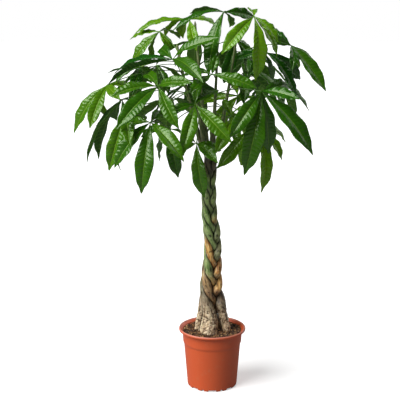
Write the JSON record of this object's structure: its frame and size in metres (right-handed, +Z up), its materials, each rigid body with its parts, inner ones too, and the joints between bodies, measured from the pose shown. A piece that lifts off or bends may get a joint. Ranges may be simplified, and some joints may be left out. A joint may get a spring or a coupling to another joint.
{
  "type": "potted money tree",
  "caption": "Money tree house plant with a braided trunk and an umbrella of palmate leaves, planted in a terracotta-coloured plastic nursery pot.",
  "frame": {"origin": "centre of the pot's foot, on the plane it stands on", "axes": "+Z up the trunk, -Y towards the front of the picture, +X to its right"},
  "size_m": [0.8629, 0.7834, 1.3548],
  "materials": {
    "pot_plastic": "terracotta-coloured injection-moulded plastic with a faint sheen",
    "bark_soil": "loose brown bark compost with chips",
    "stem_bark": "smooth thin bark, grey-brown at the pale rough foot, greener and patched with tan above",
    "leaf_green": "glossy leathery leaf, deep green above and paler below, with pale ribs"
  },
  "bodies": {
    "root": {"pot": "pot_plastic", "soil": "bark_soil", "stem_1": "stem_bark", "stem_2": "stem_bark", "stem_3": "stem_bark", "stem_4": "stem_bark", "stem_5": "stem_bark", "leaf_01": "leaf_green", "leaf_02": "leaf_green", "leaf_03": "leaf_green", "leaf_04": "leaf_green", "leaf_05": "leaf_green", "leaf_06": "leaf_green", "leaf_07": "leaf_green", "leaf_08": "leaf_green", "leaf_09": "leaf_green", "leaf_10": "leaf_green", "leaf_11": "leaf_green", "leaf_12": "leaf_green", "leaf_13": "leaf_green", "leaf_14": "leaf_green", "leaf_15": "leaf_green", "leaf_16": "leaf_green", "leaf_17": "leaf_green", "leaf_18": "leaf_green", "leaf_19": "leaf_green", "leaf_20": "leaf_green", "leaf_21": "leaf_green", "leaf_22": "leaf_green", "leaf_23": "leaf_green", "leaf_24": "leaf_green", "leaf_25": "leaf_green", "leaf_26": "leaf_green", "leaf_27": "leaf_green", "leaf_28": "leaf_green", "leaf_29": "leaf_green", "leaf_30": "leaf_green", "leaf_31": "leaf_green"}
  },
  "joints": []
}
